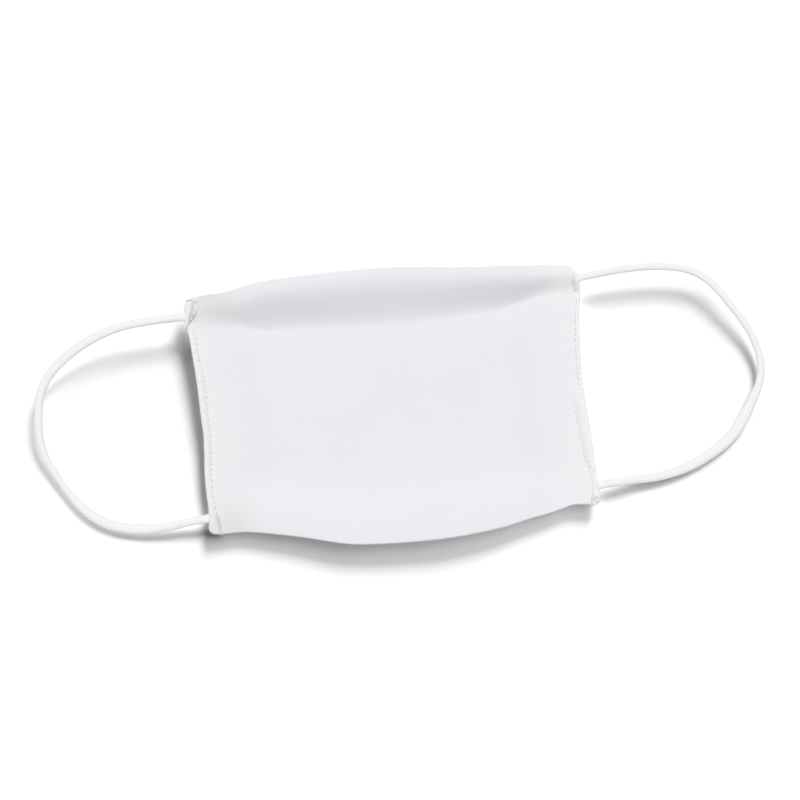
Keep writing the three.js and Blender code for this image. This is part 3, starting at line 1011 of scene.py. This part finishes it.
def make_loop(side, route, material):
    """An ear loop: ribbed elastic swept along its route, its ends tucked into the hem's corners."""
    route = np.array(route, float)
    exit_point = route[0].copy()
    for end, near in ((0, 1), (-1, -2)):
        outward = route[end] - route[near]
        route[end] += outward / np.linalg.norm(outward) * ELASTIC_TUCK
    line = catmull_rom(route, ELASTIC_STEP)
    around = ELASTIC_RIBS * POINTS_PER_RIB
    circle = unit_circle(around)
    phase = 2 * np.pi * np.arange(around) / POINTS_PER_RIB
    section = circle * (1 - RIB_DEPTH * (0.5 - 0.5 * np.cos(phase)))[:, None]
    far = np.arange(len(line)) * ELASTIC_STEP
    spread = 1 - smoothstep(np.minimum(far, far[::-1]), 0, SPREAD_LENGTH)
    width = column_curve(ELASTIC_SHOWS[side], "far", "width")(far) * (1 + SPREAD_WIDER * spread)
    height = ELASTIC_HEIGHT * (1 - SPREAD_LOWER * spread)
    points = swept_tube(line, section, width, height)
    faces, places = tube_faces(len(line), around)
    corner_uv = places * [ELASTIC_STEP, ELASTIC_ROUND / around]
    loop = mesh_piece("elastic_loop_" + side, points, faces, corner_uv, material)
    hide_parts("ear_loop_" + side)
    return loop


# ---- Build -------------------------------------------------------------------

# corner_shade is the colour of the shade painted at the corners
# fold is the colour of the highlight painted at the folds
cloth = twill_material("white_twill", cool=(0.780, 0.785, 0.815), warm=(0.792, 0.785, 0.815),
                       fold=(0.86, 0.86, 0.88), corner_shade=(0.70, 0.695, 0.69))
# The elastic's groove colour is painted shade in the dips between its ribs
elastic = elastic_material("elastic_knit", groove_shade=(0.83, 0.825, 0.80), crest=(0.925, 0.92, 0.905))
# Each thread's first colour is the shade painted at its ends, where it goes into the cloth
cream_thread = thread_material("cream_thread", (0.50, 0.485, 0.39), (0.82, 0.81, 0.735))
olive_thread = thread_material("olive_thread", (0.62, 0.59, 0.46), (0.80, 0.77, 0.66))
# Dark thread, also used as painted shade along the tab's back edge
dark_thread_and_shade = thread_material("dark_thread_and_shade", (0.32, 0.315, 0.29), (0.50, 0.49, 0.45))
tan_thread = thread_material("tan_thread", (0.66, 0.58, 0.48), (0.83, 0.77, 0.68))

loops = [make_loop("left", LEFT_LOOP, elastic),
         make_loop("right", RIGHT_LOOP, elastic)]

panel = make_panel(cloth)
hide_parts("mask_panel")

on_panel = []
for side in ("left", "right"):
    hem = make_hem(side, cloth)
    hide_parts("side_hem_" + side)
    olive = [piece for rows in OLIVE_TACKS[side] for piece in tack_strands(side, rows)]
    # Dark thread marks, part dark thread and part painted shade along the tab's back edge
    dark = [strand(side, places, TACK_THREAD_RADIUS, LOOSE_BOW) for places in DARK_THREADS_AND_SHADE[side]]
    tan = [piece for rows in TAN_TACKS[side] for piece in tack_strands(side, rows)]
    plain = seam_strands(side)
    if side == THREAD_LOOP["side"]:
        plain.append(ring_strand(**THREAD_LOOP))
    on_panel += [
        hem,
        make_threads("stitches_" + side, plain, cream_thread),
        make_threads("olive_tacks_" + side, olive, olive_thread),
        make_threads("tan_tack_" + side, tan, tan_thread),
        make_threads("threads_and_shade_" + side, dark, dark_thread_and_shade),
    ]
tab = make_tab(cloth)
on_panel.append(tab)

# ---- Floor, lights and camera ------------------------------------------------

FLOOR_HALF = 8.0
FLOOR_DROP = 0.0001
FLOOR_GREY = 0.93
WORLD_COLOUR = (0.97, 0.98, 1.0)
WORLD_STRENGTH = 0.035
CAMERA_AZIMUTH = 185
CAMERA_ELEVATION = 75
CAMERA_DISTANCE = 0.9
CAMERA_AIM = Vector((4.2, 2.7, 4.0)) * MM
CAMERA_LENS = 85
CAMERA_SENSOR = 36

floor_mesh = bpy.data.meshes.new("floor")
floor_corners = [(x * FLOOR_HALF, y * FLOOR_HALF, -FLOOR_DROP)
                 for x, y in ((-1, -1), (1, -1), (1, 1), (-1, 1))]
floor_mesh.from_pydata(floor_corners, [], [(0, 1, 2, 3)])
floor = add_object("floor", floor_mesh)
paper = Shading("floor_paper", roughness=0.95, sheen=0.0)
paper.shader["Base Color"].default_value = (FLOOR_GREY, FLOOR_GREY, FLOOR_GREY, 1)
floor_mesh.materials.append(paper.material)

world = bpy.data.worlds.new("studio")
world.use_nodes = True
background = world.node_tree.nodes["Background"].inputs
background["Color"].default_value = (*WORLD_COLOUR, 1)
background["Strength"].default_value = WORLD_STRENGTH
bpy.context.scene.world = world


def group(name, pieces):
    """A collection outside the scene that names the pieces a light reaches or is stopped by."""
    members = bpy.data.collections.new(name)
    for piece in pieces:
        members.objects.link(piece)
    return members


def direction(azimuth, elevation):
    """The way from the mask to a light or camera: azimuth 0 is the back, and 90 the right."""
    a, e = math.radians(azimuth), math.radians(elevation)
    return Vector((math.sin(a) * math.cos(e), math.cos(a) * math.cos(e), math.sin(e)))


def sun(name, energy, azimuth, elevation, softness, reaches, stopped_by=None):
    """A soft light from one direction, with its softness in degrees. Everything stops it unless
    stopped_by says what does."""
    data = bpy.data.lights.new(name, "SUN")
    data.energy = energy
    data.angle = math.radians(softness)
    light = add_object(name, data)
    light.rotation_euler = direction(azimuth, elevation).to_track_quat("Z", "Y").to_euler()
    light.light_linking.receiver_collection = reaches
    if stopped_by:
        light.light_linking.blocker_collection = stopped_by


on_floor = group("lit_floor", [floor])
on_mask = group("lit_mask", [panel] + on_panel)
on_loops = group("lit_loops", loops)
cloth_and_right_loop = group("shading_side", [panel] + on_panel + loops[1:])
loops_only = group("shading_loops", loops)
sun("floor_key", energy=3.30, azimuth=30, elevation=34, softness=22, reaches=on_floor)
sun("floor_side", energy=1.48, azimuth=75, elevation=50, softness=45, reaches=on_floor,
    stopped_by=cloth_and_right_loop)
sun("floor_loops", energy=0.88, azimuth=-28, elevation=31, softness=18, reaches=on_floor,
    stopped_by=loops_only)
sun("mask_key", energy=1.33, azimuth=-20, elevation=55, softness=45, reaches=on_mask)
sun("mask_dome", energy=2.09, azimuth=0, elevation=90, softness=120, reaches=on_mask)
sun("mask_side", energy=0.35, azimuth=105, elevation=20, softness=40, reaches=on_mask)
sun("loop_key", energy=0.75, azimuth=0, elevation=60, softness=25, reaches=on_loops)
sun("loop_dome", energy=2.5, azimuth=0, elevation=90, softness=120, reaches=on_loops)

camera_data = bpy.data.cameras.new("camera")
camera_data.lens = CAMERA_LENS
camera_data.sensor_width = CAMERA_SENSOR
camera = add_object("camera", camera_data)
to_camera = direction(CAMERA_AZIMUTH, CAMERA_ELEVATION)
camera.location = CAMERA_AIM + to_camera * CAMERA_DISTANCE
camera.rotation_euler = (-to_camera).to_track_quat("-Z", "Y").to_euler()
bpy.context.scene.camera = camera
bpy.context.scene.view_settings.view_transform = "Standard"
